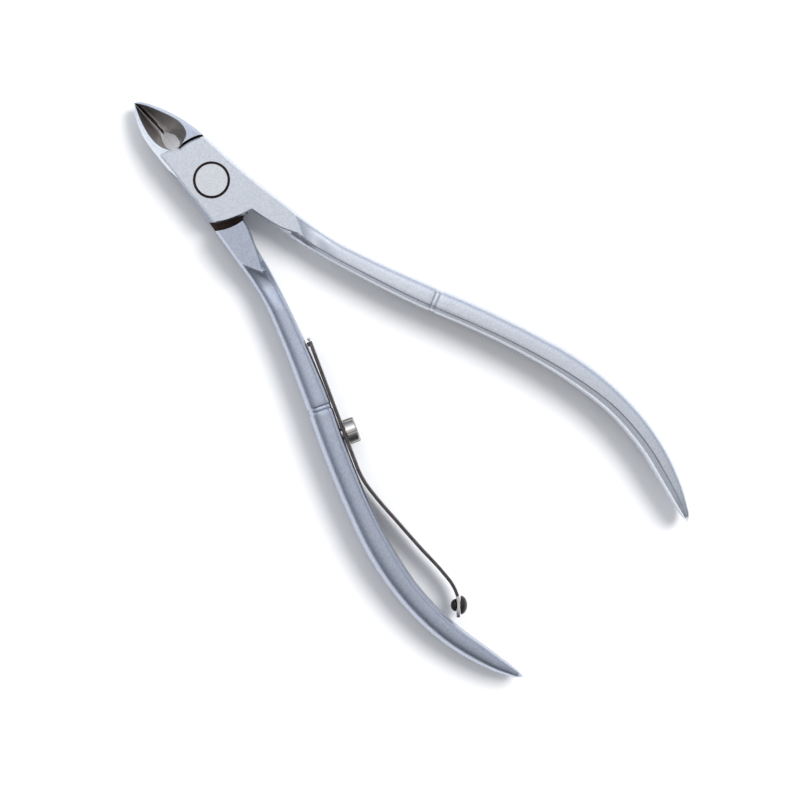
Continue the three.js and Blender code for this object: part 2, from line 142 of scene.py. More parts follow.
def loft(name, rings):
    """A closed skin over rings with equal numbers of points.

    Its faces point outward where the rings run anticlockwise seen from the last ring's side.
    """
    count = len(rings[0])
    points = [p for ring in rings for p in ring]
    faces = []
    for r in range(len(rings) - 1):
        for i in range(count):
            a = r * count + i
            b = r * count + (i + 1) % count
            faces.append((a, b, b + count, a + count))
    last = (len(rings) - 1) * count
    faces.append(tuple(reversed(range(count))))
    faces.append(tuple(range(last, last + count)))
    return new_piece(name, points, faces)


def combine(piece, other, operation):
    """Joins or cuts piece with another closed mesh, which is used up."""
    modifier = piece.modifiers.new(operation, "BOOLEAN")
    modifier.operation = operation
    modifier.solver = "MANIFOLD"
    modifier.object = other
    bpy.context.view_layer.update()
    graph = bpy.context.evaluated_depsgraph_get()
    made = bpy.data.meshes.new_from_object(piece.evaluated_get(graph))
    piece.modifiers.clear()
    piece.data = made
    bpy.data.objects.remove(other)
    return piece


def turn_over(piece):
    """Half a turn about the tool's axis, which makes the rear lever's shape from the front lever's."""
    piece.data.transform(Matrix.Translation((0, 0, THICK)) @ Matrix.Rotation(math.pi, 4, "Y"))
    return piece


def finish_piece(piece, body, materials, choose=None):
    """Scales a piece to metres, smooths it except at its creases, and joins it to the frame."""
    mesh = piece.data
    mesh.materials.clear()
    for material in materials:
        mesh.materials.append(material)
    for polygon in mesh.polygons:
        polygon.use_smooth = True
        corners = [mesh.vertices[index].co for index in polygon.vertices]
        polygon.material_index = choose(polygon.center, polygon.normal, corners) if choose else 0
    mesh.set_sharp_from_angle(angle=SHARP)
    mesh.transform(Matrix.Scale(METRES, 4))
    node = piece.name.replace("_finish", "")
    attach(piece, body)
    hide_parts(node)


# ---------------------------------------------------------------- materials

def new_material(name, colour, metallic, roughness):
    material = bpy.data.materials.new(name)
    material.use_nodes = True
    shader = material.node_tree.nodes["Principled BSDF"]
    shader.inputs["Base Color"].default_value = (*colour, 1)
    shader.inputs["Metallic"].default_value = metallic
    shader.inputs["Roughness"].default_value = roughness
    return material, material.node_tree, shader


def noise(tree, scale, detail, stretch=(1, 1, 1)):
    """Noise in the object's own metres; scale is in waves per metre."""
    nodes, links = tree.nodes, tree.links
    place = nodes.new("ShaderNodeTexCoord")
    mapping = nodes.new("ShaderNodeMapping")
    mapping.inputs["Scale"].default_value = stretch
    texture = nodes.new("ShaderNodeTexNoise")
    texture.inputs["Scale"].default_value = scale
    texture.inputs["Detail"].default_value = detail
    links.new(place.outputs["Object"], mapping.inputs["Vector"])
    links.new(mapping.outputs["Vector"], texture.inputs["Vector"])
    return texture.outputs["Fac"]


def spread(tree, value, low, high):
    """Maps noise to a range of numbers."""
    node = tree.nodes.new("ShaderNodeMapRange")
    node.inputs["From Min"].default_value = 0.3
    node.inputs["From Max"].default_value = 0.7
    node.inputs["To Min"].default_value = low
    node.inputs["To Max"].default_value = high
    tree.links.new(value, node.inputs["Value"])
    return node.outputs["Result"]


def two_tone(tree, value, dark, light):
    """Mixes two colours by noise."""
    ramp = tree.nodes.new("ShaderNodeValToRGB")
    ramp.color_ramp.elements[0].position = 0.3
    ramp.color_ramp.elements[0].color = (*dark, 1)
    ramp.color_ramp.elements[1].position = 0.7
    ramp.color_ramp.elements[1].color = (*light, 1)
    tree.links.new(value, ramp.inputs["Fac"])
    return ramp.outputs["Color"]


def bump(tree, shader, value, depth):
    """Raises a surface by noise, to a depth in millimetres."""
    node = tree.nodes.new("ShaderNodeBump")
    node.inputs["Strength"].default_value = 1.0
    node.inputs["Distance"].default_value = depth * METRES
    tree.links.new(value, node.inputs["Height"])
    tree.links.new(node.outputs["Normal"], shader.inputs["Normal"])


def satin_steel(name, dark, light, roughness):
    """Bead-blasted and plated steel: a fine pearly grain over a faint mottle."""
    material, tree, shader = new_material(name, light, 1.0, roughness)
    mottle = noise(tree, 3200, 3)
    grain = noise(tree, 5200, 2)
    tree.links.new(two_tone(tree, mottle, dark, light), shader.inputs["Base Color"])
    tree.links.new(spread(tree, grain, roughness - 0.05, roughness + 0.06), shader.inputs["Roughness"])
    bump(tree, shader, grain, 0.006)
    return material


def ground_steel(name, dark, light, roughness, stretch, metallic=1.0):
    """Bare ground metal with fine grinding lines."""
    material, tree, shader = new_material(name, light, metallic, roughness)
    lines = noise(tree, 900, 4, stretch)
    tree.links.new(two_tone(tree, lines, dark, light), shader.inputs["Base Color"])
    tree.links.new(spread(tree, lines, roughness - 0.04, roughness + 0.08), shader.inputs["Roughness"])
    bump(tree, shader, lines, 0.003)
    return material


def nickel_with_painted_reflections(name, dark, light, roughness):
    """Polished nickel with bands of painted reflection, from near black to near white, square to the leaf
    spring's straight part.
    """
    material, tree, shader = new_material(name, light, 1.0, roughness)
    place = tree.nodes.new("ShaderNodeTexCoord")
    along = tree.nodes.new("ShaderNodeVectorMath")
    along.operation = "DOT_PRODUCT"
    along.inputs[1].default_value = BAND_DIRECTION
    tree.links.new(place.outputs["Object"], along.inputs[0])
    bands = tree.nodes.new("ShaderNodeTexNoise")
    bands.noise_dimensions = "1D"
    bands.inputs["Scale"].default_value = 1300
    bands.inputs["Detail"].default_value = 2
    tree.links.new(along.outputs["Value"], bands.inputs["W"])
    # The bands' dark-to-light colour is a painted reflection of the studio.
    tree.links.new(two_tone(tree, bands.outputs["Fac"], dark, light), shader.inputs["Base Color"])
    rough = spread(tree, bands.outputs["Fac"], roughness, roughness + 0.1)
    tree.links.new(rough, shader.inputs["Roughness"])
    bump(tree, shader, bands.outputs["Fac"], 0.01)
    return material


def plastic(name, dark, light, roughness):
    material, tree, shader = new_material(name, light, 0.0, roughness)
    grain = noise(tree, 2600, 3)
    tree.links.new(two_tone(tree, grain, dark, light), shader.inputs["Base Color"])
    tree.links.new(spread(tree, grain, roughness - 0.05, roughness + 0.1), shader.inputs["Roughness"])
    bump(tree, shader, grain, 0.006)
    return material


FRONT_STEEL = satin_steel("front_satin_steel", (0.70, 0.735, 0.795), (0.84, 0.87, 0.92), 0.40)
# The rear lever has the front lever's plated finish; its colour is painted darker and bluer, as painted
# shade.
REAR_STEEL_PAINTED_SHADE = satin_steel("rear_satin_steel_painted_shade", (0.47, 0.51, 0.61), (0.60, 0.64, 0.725), 0.38)
PIN_STEEL = satin_steel("pin_satin_steel", (0.75, 0.77, 0.80), (0.87, 0.88, 0.91), 0.38)
HOLLOW_STEEL = ground_steel(
    "hollow_ground_steel", (0.50, 0.475, 0.46), (0.62, 0.59, 0.575), 0.36, (4, 1, 1))
ROOT_STEEL = ground_steel(
    "root_ground_steel", (0.66, 0.65, 0.64), (0.76, 0.75, 0.74), 0.45, (1, 4, 1), 0.35)
# Dark brown-black painted shade for the joint's gaps and recesses and for the bevel behind the rear
# cutting edge.
JOINT_PAINTED_SHADE = ground_steel(
    "joint_painted_shade", (0.045, 0.028, 0.022), (0.11, 0.075, 0.064), 0.55, (1, 1, 1))
SPRING_STEEL = ground_steel(
    "blued_spring_steel", (0.085, 0.072, 0.074), (0.15, 0.13, 0.13), 0.32, (1, 1, 5))
# Light polished metal painted on the leaf's edge at the bumper and on its rolled tip, as painted
# highlights.
LEAF_PAINTED_HIGHLIGHT = ground_steel("polished_nickel", (0.72, 0.68, 0.63), (0.80, 0.76, 0.71), 0.13, (1, 1, 1))
BAND_DIRECTION = (-0.385, -0.923, 0.0)
# The spring screw's nickel, with painted reflection bands.
PAINTED_REFLECTION_NICKEL = nickel_with_painted_reflections("nickel_with_painted_reflections", (0.10, 0.085, 0.075), (0.95, 0.91, 0.86), 0.10)
BLACK_PLASTIC = plastic("black_plastic", (0.008, 0.007, 0.007), (0.016, 0.014, 0.014), 0.32)


# ---------------------------------------------------------------- handle

# Down the tool from the pivot: distance, the middle's distance from the tool's axis, the width across
# the plan, the height along Z, and the inner face's share of the width on the front and rear levers.
HANDLE_STATIONS = [
    (6.2, 3.2, 3.7, 6.4, 0.20, 0.20),
    (9.4, 3.8, 3.8, 6.3, 0.30, 0.30),
    (13.9, 4.6, 3.7, 5.9, 0.36, 0.34),
    (18.4, 5.6, 3.3, 5.8, 0.26, 0.20),
    (27.1, 8.5, 3.5, 6.5, 0.24, 0.17),
    (35.7, 11.9, 3.9, 7.3, 0.21, 0.16),
    (44.0, 15.5, 3.9, 7.8, 0.21, 0.15),
    (52.4, 18.7, 3.9, 7.9, 0.23, 0.15),
    (60.9, 21.2, 4.1, 7.8, 0.28, 0.16),
    (69.6, 22.4, 3.8, 7.4, 0.36, 0.18),
    (78.3, 21.8, 3.5, 6.8, 0.40, 0.18),
    (83.8, 20.4, 3.0, 6.1, 0.45, 0.20),
    (88.0, 19.0, 1.9, 5.1, 0.52, 0.30),
    (90.1, 18.2, 0.9, 3.9, 0.56, 0.40),
    (90.7, 17.9, 0.5, 3.2, 0.58, 0.45),
]
FRONT_BOW = 0.0
REAR_BOW = 0.5  # the rear handle's middle lies this much nearer the tool's axis
FRONT_SHARE = 3  # the place, after the distance, of each lever's inner share in a station
REAR_SHARE = 4
FRONT_SQUARENESS = 4.2  # the crown's superellipse: 2 is round, more is squarer
REAR_SQUARENESS = 2.9
BOW_SPAN = (2.0, 86.0)
BOW_POWER = 0.7
TIP_ROUND = 1.1  # the length over which a tail rounds off
GROOVE_DOWN = 37.9
GROOVE_PROFILE = [
    (-0.62, 0), (-0.46, 0.03), (-0.3, 0.14), (-0.14, 0.08), (0, 0.05),
    (0.14, 0.08), (0.3, 0.14), (0.46, 0.03), (0.62, 0),
]
GROOVE_REACH = 0.7  # plain sections keep this far from the groove's middle
CREASE_OUTER = 12.25  # where the flat face ends, down the tool, at the outer edge, the crease and inside
CREASE_MIDDLE = 15.8
CREASE_INNER = 16.1
SCOOP_DEPTH = 3.6  # about six times the depth at the scoop's lowest place
SCOOP_END = 0.62  # where the scoop runs out, as a share of the way to the crowned section
CROWN_START = 27.0  # from here on the sections stand square to the handle
CROWN_STEPS = 28
CROWN_ROUND = 0.75  # this share of a crowned section's points is on its outer round
FLAT_SIDE = 0.3  # on a flat section, the points up to this share are on its side
FLAT_CHAMFER = 0.45  # and from there up to this share on its chamfer
INNER_STEP = 0.14
INNER_STEP_SLOPE = 0.95
INNER_SLOPE = 0.2
INNER_ROUND = 0.68  # from here on the inner face rounds down to the handle's side
INNER_SHARES = [INNER_STEP / 2, INNER_STEP, 0.4, INNER_ROUND, 0.8, 0.88, 0.94, 0.98, 0.997, 1.0]
SHANK_STEPS = 64
FLATNESS_END = 0.34  # where the flat section has given way to the crowned one, as a share of the way
ROOT_BACK = 1.6  # the first section lies this far back inside the flat part, a little smaller
ROOT_DROP = 0.12
ROOT_CUT = 0.03
SHANK_DROP = 0.003
SECTION_SPACING = 0.6
TAIL_LENGTH = 3.0
TAIL_STEPS = 22
PEAK = -0.3  # where the crown is highest, as a share of the half width
PEAK_TO_CREASE = 0.04
CROWN_FALL = 0.1
EDGE_WIDTH = 0.42  # the outer chamfer
EDGE_DEPTH = 0.9

station = through([row[0] for row in HANDLE_STATIONS], [row[1:] for row in HANDLE_STATIONS])


class Handle:
    """One handle's plan, drawn as the front lever's."""

    def __init__(self, bow, share_column, squareness):
        self.bow = bow
        self.share_column = share_column
        self.squareness = squareness

    def middle(self, down):
        share = (down - BOW_SPAN[0]) / (BOW_SPAN[1] - BOW_SPAN[0])
        share = min(max(share, 0.0), 1.0)
        bowed = self.bow * math.sin(math.pi * share) ** BOW_POWER
        return np.array([station(down)[0] - bowed, -down])

    def outward(self, down):
        tangent = self.middle(down + 0.05) - self.middle(down - 0.05)
        tangent /= np.linalg.norm(tangent)
        return np.array([-tangent[1], tangent[0]])

    def at(self, down, share, cut=0.0):
        """A plan place; share is 1 at the outer edge and -1 at the inner one."""
        half = station(down)[1] / 2 * tail_rounding(down) - cut
        return self.middle(down) + self.outward(down) * half * share

    def crease(self, down):
        return 2 * station(down)[self.share_column] - 1


def tail_rounding(down):
    share = (down - (TAIL - TIP_ROUND)) / TIP_ROUND
    return math.sqrt(max(1 - max(share, 0.0) ** 2, 0.02))


def crown_profile(crease, squareness):
    """The top half of a crowned section: shares of the half width and of the half height."""
    profile = []
    power = 2 / squareness
    peak = max(PEAK, crease + PEAK_TO_CREASE)
    for i in range(CROWN_STEPS + 1):
        share = i / CROWN_STEPS
        if share < CROWN_ROUND:
            angle = share / CROWN_ROUND * math.pi / 2
            profile.append((peak + (1 - peak) * math.cos(angle) ** power, math.sin(angle) ** power))
        else:
            across = mix(peak, crease, (share - CROWN_ROUND) / (1 - CROWN_ROUND))
            profile.append((across, 1 - CROWN_FALL * ((peak - across) / (1 + peak)) ** 2))
    return profile


def inner_fall(share, width):
    """How far the inner face lies below the crease: a small step, then a gentle slope."""
    return width * (INNER_STEP_SLOPE * min(share, INNER_STEP) + INNER_SLOPE * max(share - INNER_STEP, 0))


def flat_profile(crease, half):
    """The top half of the flat shank's section, with its outer chamfer."""
    shoulder = 1 - EDGE_WIDTH / half
    low = 1 - EDGE_DEPTH / MID
    profile = []
    for i in range(CROWN_STEPS + 1):
        share = i / CROWN_STEPS
        if share < FLAT_SIDE:
            profile.append((1.0, low * share / FLAT_SIDE))
        elif share < FLAT_CHAMFER:
            part = (share - FLAT_SIDE) / (FLAT_CHAMFER - FLAT_SIDE)
            profile.append((mix(1.0, shoulder, part), mix(low, 1.0, part)))
        else:
            part = (share - FLAT_CHAMFER) / (1 - FLAT_CHAMFER)
            profile.append((mix(shoulder, crease, part), 1.0))
    return profile


def handle_ring(plan, outer_down, crease_down, inner_down, flatness, drop, cut=0.0):
    """One section. flatness is 1 for the shank's flat section and 0 for the crowned one."""
    crease = plan.crease(crease_down)
    outer = plan.at(outer_down, 1.0, cut)
    edge = plan.at(crease_down, crease, cut)
    inner = plan.at(inner_down, -1.0, cut)
    crown = crown_profile(crease, plan.squareness)
    flat = flat_profile(crease, station(crease_down)[1] / 2)
    half_height = station(crease_down)[2] / 2 * tail_rounding(crease_down) - cut
    half_height = mix(half_height, MID, flatness) - drop
    top = []
    for (crown_across, crown_up), (flat_across, flat_up) in zip(crown, flat):
        across = mix(crown_across, flat_across, flatness)
        up = mix(crown_up, flat_up, flatness)
        share = (1 - across) / (1 - crease)
        top.append((*mix(outer, edge, share), up * half_height))
    crease_up = top[-1][2]
    width = np.linalg.norm(edge - inner)
    for share in INNER_SHARES:
        rounding = max((share - INNER_ROUND) / (1 - INNER_ROUND), 0.0)
        stepped = (crease_up - inner_fall(share, width)) * math.sqrt(1 - rounding ** 2)
        bowed = crease_up * (1 - share ** 2) ** 0.25
        top.append((*mix(edge, inner, share), mix(stepped, bowed, flatness)))
    under = [(x, y, -z) for x, y, z in reversed(top[1:-1])]
    return [(x, y, MID + z) for x, y, z in top + under]


def handle_rings(plan):
    """The sections from inside the flat part, over the scoop and the groove, to the tail."""
    rings = []
    for i in range(-1, SHANK_STEPS):
        root = i < 0
        along = (max(i, 0) / SHANK_STEPS) ** 1.35
        back = ROOT_BACK if root else 0.0
        flatness = 1 - ease(along / FLATNESS_END)
        scoop = min(along / SCOOP_END, 1.0)
        drop = SCOOP_DEPTH * scoop ** 0.9 * (1 - scoop) ** 2 + (ROOT_DROP if root else SHANK_DROP)
        rings.append(handle_ring(
            plan,
            mix(CREASE_OUTER, CROWN_START, along) - back,
            mix(CREASE_MIDDLE, CROWN_START, along) - back,
            mix(CREASE_INNER, CROWN_START, along) - back,
            flatness,
            drop,
            ROOT_CUT if root else 0.0,
        ))
    downs = [(down, 0.0) for down in np.arange(CROWN_START, TAIL - TAIL_LENGTH, SECTION_SPACING)
             if abs(down - GROOVE_DOWN) > GROOVE_REACH]
    downs += [(GROOVE_DOWN + offset, depth) for offset, depth in GROOVE_PROFILE]
    downs += [(TAIL - TAIL_LENGTH * (1 - share) ** 1.6, 0.0) for share in np.linspace(0, 1, TAIL_STEPS)]
    for down, cut in sorted(downs):
        rings.append(handle_ring(plan, down, down, down, 0.0, 0.0, cut))
    return rings


# ---------------------------------------------------------------- joint

FINE_EDGE = 0.13
LINE_EDGE = 0.22
ARC_EDGE = 0.3
PLATE_FRONT = [(-0.15, 7.0), (-1.1, 7.7), (-2.1, 8.2), (-3.05, 8.45)]
PLATE_LEFT = [(-3.32, 8.3), (-3.38, 7.2), (-3.5, 5.2), (-3.75, 2.9), (-4.1, -2.2), (-4.35, -4.9)]
FRONT_LOWER = [(-4.38, -4.95), (-3.5, -5.68), (-2.57, -6.22), (-1.23, -6.8), (-0.2, -7.2), (1.3, -7.62)]
REAR_LOWER = [(-4.38, -4.95), (-3.5, -5.68), (-2.57, -6.22), (-1.5, -6.7), (-0.6, -7.05), (0.5, -7.5)]
FRONT_INNER = [(1.5, -7.78), (2.0, -10.0), (2.8, -12.8)]
REAR_INNER = [(0.72, -8.0), (1.0, -9.3), (1.8, -11.3), (2.7, -13.6)]
FRONT_RIGHT = [(4.97, -4.5), (4.43, 0.3), (4.04, 5.3)]
REAR_RIGHT = [(4.92, -4.5), (4.38, 0.3), (3.93, 5.3)]
ARC_DEPTH = 0.35
LEVEL_STEPS = [0.0, 0.04, FINE_EDGE, LINE_EDGE, ARC_DEPTH, 0.6, EDGE_DEPTH]


def plate_outline(plan, lower_points, inner_points, right_points):
    """The flat part in plan: its place on top, its place at half height, and its edge's kind."""
    corner = plan.at(CREASE_MIDDLE, plan.crease(CREASE_MIDDLE))
    inner_end = plan.at(CREASE_INNER, -1.0)
    outer_end = plan.at(CREASE_OUTER, 1.0)
    outline = []
    start = math.atan2(5.8, right_points[-1][0] - 0.1)
    for angle in np.linspace(start, math.pi * 0.5, 26):
        place = PLATE_RADIUS * np.array([math.cos(angle), math.sin(angle)])
        outline.append((place, place, "arc"))
    for place in curve_points(PLATE_FRONT, 12):
        outline.append((place, place, "arc"))
    for place in curve_points(PLATE_LEFT, 18):
        outline.append((place, place, "line"))
    for place in curve_points(lower_points, 20)[1:]:
        outline.append((place, place, "fine"))
    top_points = curve_points([*inner_points, corner], 24)
    mid_points = curve_points([*inner_points[:-1], plan.at(13.2, -1.0), inner_end], 24)
    for place, mid_place in zip(top_points, mid_points):
        outline.append((place, mid_place, "fine"))
    for share in (0.33, 0.66):
        outline.append((mix(corner, outer_end, share), mix(inner_end, outer_end, share), "none"))
    for place in curve_points([outer_end, *right_points], 24):
        outline.append((place, place, "outer"))
    return outline


def inset(kind, depth):
    """How far an edge of a kind is cut back at a depth below the flat face."""
    if kind == "outer":
        return EDGE_WIDTH * (1 - depth / EDGE_DEPTH) ** 1.15
    if kind == "arc":
        return max(ARC_EDGE * (1 - depth / ARC_DEPTH), 0.0)
    if kind == "line":
        return LINE_EDGE * max(1 - depth / LINE_EDGE, 0.0) ** 1.3
    if kind == "fine":
        return FINE_EDGE * max(1 - depth / FINE_EDGE, 0.0) ** 1.3
    return 0.0


def flat_body(name, plan, *sides):
    """The flat part through the whole thickness, chamfered above and below."""
    outline = plate_outline(plan, *sides)
    tops = np.array([place for place, _, _ in outline])
    mids = np.array([place for _, place, _ in outline])
    forward = np.roll(tops, -1, axis=0) - tops
    backward = tops - np.roll(tops, 1, axis=0)
    forward /= np.linalg.norm(forward, axis=1)[:, None]
    backward /= np.linalg.norm(backward, axis=1)[:, None]
    along = forward + backward
    along /= np.linalg.norm(along, axis=1)[:, None]
    inward = np.stack([-along[:, 1], along[:, 0]], axis=1)
    widen = np.clip(1 / np.maximum((forward * along).sum(axis=1), 0.3), 1, 1.6)
    rings = []
    heights = [*LEVEL_STEPS, MID]
    for depth in heights:
        share = math.sin(math.pi / 2 * depth / MID) ** 1.4
        places = mix(tops, mids, share)
        cuts = np.array([inset(kind, min(depth, EDGE_DEPTH)) for _, _, kind in outline])
        rings.append((depth, places + inward * (cuts * widen)[:, None]))
    low = [[(x, y, depth) for x, y in places] for depth, places in rings]
    high = [[(x, y, THICK - depth) for x, y in places] for depth, places in reversed(rings[:-1])]
    return loft(name, low + high)


def disc_outline(radius, start, end, steps):
    return [(radius * math.cos(a), radius * math.sin(a)) for a in np.linspace(start, end, steps)]


def slab(points, low, high):
    return loft("cutter", [[(x, y, z) for x, y in points] for z in (low, high)])


def pillar(radius, low, high, sides=96):
    return slab(disc_outline(radius, 0, 2 * math.pi * (1 - 1 / sides), sides), low, high)


def lever_body(name, plan, *sides):
    """A lever without its jaw, drawn as the front lever's."""
    body = flat_body(name, plan, *sides)
    below = disc_outline(REAR_CLEARANCE, math.pi, 2 * math.pi, 90)
    combine(body, slab([*below, (9, 12), (-9, 12)], -OVERRUN, MID + LAP_GAP / 2), "DIFFERENCE")
    combine(body, loft("handle", handle_rings(plan)), "UNION")
    combine(body, pillar(PIN_RADIUS + PIN_PLAY, -OVERRUN, THICK + OVERRUN), "DIFFERENCE")
    return body


# ---------------------------------------------------------------- jaws

JAW_LINE = -0.6  # the cutting edges meet this far beside the pivot axis
TIP_Y = 17.6
JAW_ROOT = 2.95
LEAST_GAP = 0.012
SLIT_GAP = 0.06
SLIT_Y = 12.6
SLIT_SPREAD = 1.1
LEFT_FLOOR = 0.85  # the left half of the hollow's floor is narrower by this factor
# Along the tool: the outer edges and the hollow's rims on the left and right, measured from the axis.
JAW_STATIONS = [
    (2.95, -3.5, 3.5, -0.6, -0.6),
    (4.2, -3.67, 3.72, -0.6, -0.6),
    (5.6, -3.85, 3.88, -0.6, -0.6),
    (7.1, -3.8, 3.84, -0.6, -0.6),
    (7.35, -3.78, 3.82, -0.85, 0.35),
    (7.75, -3.76, 3.76, -1.35, 1.7),
    (8.2, -3.72, 3.68, -1.75, 2.2),
    (8.9, -3.66, 3.55, -2.12, 2.5),
    (10.0, -3.58, 3.31, -2.4, 2.62),
    (11.8, -3.36, 2.8, -2.4, 2.25),
    (13.0, -3.1, 2.38, -2.2, 1.8),
    (14.2, -2.72, 1.9, -1.88, 1.32),
    (15.4, -2.2, 1.35, -1.48, 0.8),
    (16.4, -1.6, 0.8, -1.08, 0.28),
    (17.0, -1.12, 0.36, -0.82, -0.12),
    (17.4, -0.78, -0.1, -0.66, -0.42),
    (17.6, -0.67, -0.53, -0.6, -0.6),
]
jaw_station = through([row[0] for row in JAW_STATIONS], [row[1:] for row in JAW_STATIONS])
JAW_TOP = through([2.95, 7.4, 9.0, 11.0, 13.0, 15.0, 17.6], [6.12, 6.05, 5.8, 5.35, 4.8, 4.15, 3.2])
JAW_BOTTOM = through([5.2, 8.8, 10.5, 12.7, 15.0, 17.6], [0.0, 0.0, 0.12, 0.45, 0.9, 1.55])
HOLLOW_FLOOR = through([5.2, 7.05, 7.4, 8.4, 9.6, 10.8, 11.6, 13.0, 15.0, 17.6],
                       [6.1, 6.0, 5.3, 4.1, 2.7, 1.3, 0.7, 0.75, 1.2, 2.9])
FLOOR_HALF = through([5.2, 7.05, 7.6, 8.4, 9.4, 10.4, 11.4, 12.2, 17.6],
                     [0.0, 0.0, 0.8, 1.15, 1.25, 0.95, 0.35, 0.06, 0.02])
WALL_STEPS = 10
FLOOR_STEPS = 4
# The rear lever's jaw has a steep bevel behind its cutting edge, wider towards the tip.
BEVEL = through([5.2, 10.8, 11.4, 12.5, 14.5, 16.2, 17.2, 17.6],
                [0.0, 0.0, 0.3, 0.42, 0.52, 0.45, 0.22, 0.0])


def jaw_gap(y):
    """Half the gap between the cutting edges: a thin slit shows light in the middle of the blades."""
    return LEAST_GAP + SLIT_GAP * math.exp(-((y - SLIT_Y) / SLIT_SPREAD) ** 2)


def jaw_ring(y, side):
    """One jaw's section at a place along the tool. side is 1 for the rear lever's jaw on the right."""
    left, right, rim_left, rim_right = jaw_station(y)
    outer = right if side > 0 else left
    rim = rim_right if side > 0 else rim_left
    cut = JAW_LINE + side * jaw_gap(y)
    top = JAW_TOP(y)
    bottom = JAW_BOTTOM(y)
    room = abs(outer - cut)
    rim = cut + side * min(max(side * (rim - cut), 0.004), room * 0.9)
    edge = min(0.45, room * 0.18)
    depth = min(0.9, (top - bottom) * 0.3)
    floor = min(HOLLOW_FLOOR(y), top - 0.003)
    floor = max(floor, bottom + 0.2)
    edge_floor = floor - 0.03 if y < 11.0 or side < 0 else max(floor - 1.6 * BEVEL(y), bottom + 0.1)
    half = min(FLOOR_HALF(y) * (1.0 if side > 0 else LEFT_FLOOR), abs(rim - cut) * 0.6)
    ring = [
        (cut, bottom + 0.02),
        (outer - side * edge, bottom),
        (outer - side * edge * 0.25, bottom + depth * 0.5),
        (outer, bottom + depth),
        (outer, (top + bottom) / 2),
        (outer, top - depth),
        (outer - side * edge * 0.55, top - depth * 0.5),
        (outer - side * edge, top),
    ]
    bevel = BEVEL(y) if side > 0 else 0.0
    foot = cut + side * max(half, bevel)
    for i in range(WALL_STEPS + 1):
        share = i / WALL_STEPS
        across = mix(rim, foot, share ** 0.9)
        ring.append((across, mix(top, floor, math.sin(math.pi / 2 * share) ** 0.85)))
    for i in range(1, FLOOR_STEPS + 1):
        share = i / FLOOR_STEPS
        ring.append((mix(foot, cut, share), mix(floor, edge_floor, share)))
    ring = [(x, y, z) for x, z in ring]
    return ring if side < 0 else ring[::-1]


def jaw(side):
    places = [JAW_ROOT, 3.6, 4.2, 4.8, 5.4, 6.0, 6.8, 7.05, 7.15]
    places += list(np.linspace(7.2, 8.6, 16)) + list(np.linspace(8.75, 16.2, 56))
    places += [16.2 + 1.4 * share for share in np.sin(np.linspace(0.06, 1, 18) * math.pi / 2)]
    return loft("jaw", [jaw_ring(y, side) for y in places])


def ledge_cutters(low, high):
    """Two shallow steps in a joint plate's lap face, ahead of and behind the other lever's plate."""
    inner = PLATE_RADIUS - 0.5
    wall_gap = 0.02
    start = math.pi * 1.18
    steps = 60
    ahead = [*disc_outline(FRONT_CLEARANCE - wall_gap, 0, math.pi, steps),
             *disc_outline(inner, math.pi, 0, steps)]
    behind = [*disc_outline(REAR_CLEARANCE - wall_gap, start, 2 * math.pi, steps),
              *disc_outline(inner, 2 * math.pi, start, steps)]
    return slab(ahead, low, high), slab(behind, low, high)


def front_half_disc(low, high):
    """The room round a joint plate's front edge."""
    outline = disc_outline(FRONT_CLEARANCE, 0, math.pi, 90)
    return slab([*outline, (-FRONT_CLEARANCE, -3), (FRONT_CLEARANCE, -3)], low, high)


# ---------------------------------------------------------------- levers

SEAT_RADIUS = HEAD_RADIUS + 0.33
SEAT_DEPTH = 0.34
HEAD_PLAY = 0.07
HEAD_ROOM_DEPTH = 1.5
LEDGE_STEP = 0.06


def front_material(centre, normal, corners):
    x, y, z = centre
    radius = math.hypot(x, y)
    # The recess round the pin's head gets painted shade.
    if radius < SEAT_RADIUS + 0.01 and z > MID + 0.3 and z < THICK - 0.001:
        return 1
    return jaw_material(x, y, z, normal)


def rear_material(centre, normal, corners):
    ledge = MID - LAP_GAP / 2 - LEDGE_STEP
    # The floor of the rear lever's lap steps gets painted shade, for the shade in the gaps beside the
    # front lever's plate.
    if all(abs(corner.z - ledge) < 0.01 for corner in corners):
        return 1
    return jaw_material(*centre, normal)


def jaw_material(x, y, z, normal):
    """Painted shade on the joint's clearance walls and on the bevel behind the rear cutting edge, ground
    steel in the hollow, and the satin finish everywhere else.
    """
    radius = math.hypot(x, y)
    near_wall = abs(radius - FRONT_CLEARANCE) < 0.03 or abs(radius - REAR_CLEARANCE) < 0.03
    # The walls round the joint's clearances get painted shade.
    if near_wall and abs(normal.z) < 0.2 and z > 0.01:
        return 1
    if y < 7.06 or y > TIP_Y:
        return 0
    _, _, rim_left, rim_right = jaw_station(y)
    inside = rim_left + 0.004 < x < rim_right - 0.004
    if not inside or z < JAW_BOTTOM(y) + 0.1 or normal.z < 0.03:
        return 0
    # The steep bevel behind the rear cutting edge gets painted shade.
    if y > 11.2 and JAW_LINE < x < JAW_LINE + BEVEL(y) + 0.01:
        return 1
    half = FLOOR_HALF(y)
    if y < 11.6 and JAW_LINE - LEFT_FLOOR * half < x < JAW_LINE + half:
        return 3
    return 2


LEVER_MATERIALS = [JOINT_PAINTED_SHADE, HOLLOW_STEEL, ROOT_STEEL]


def make_front_lever():
    plan = Handle(FRONT_BOW, FRONT_SHARE, FRONT_SQUARENESS)
    lever = lever_body("front_lever_finish", plan, FRONT_LOWER, FRONT_INNER, FRONT_RIGHT)
    tooth = combine(jaw(-1), front_half_disc(-OVERRUN, MID + LAP_GAP / 2), "DIFFERENCE")
    combine(lever, tooth, "UNION")
    combine(lever, pillar(HEAD_RADIUS + HEAD_PLAY, THICK - HEAD_ROOM_DEPTH, THICK + OVERRUN), "DIFFERENCE")
    combine(lever, pillar(SEAT_RADIUS, THICK - SEAT_DEPTH, THICK + OVERRUN), "DIFFERENCE")
    finish_piece(lever, "front_lever", [FRONT_STEEL, *LEVER_MATERIALS], front_material)


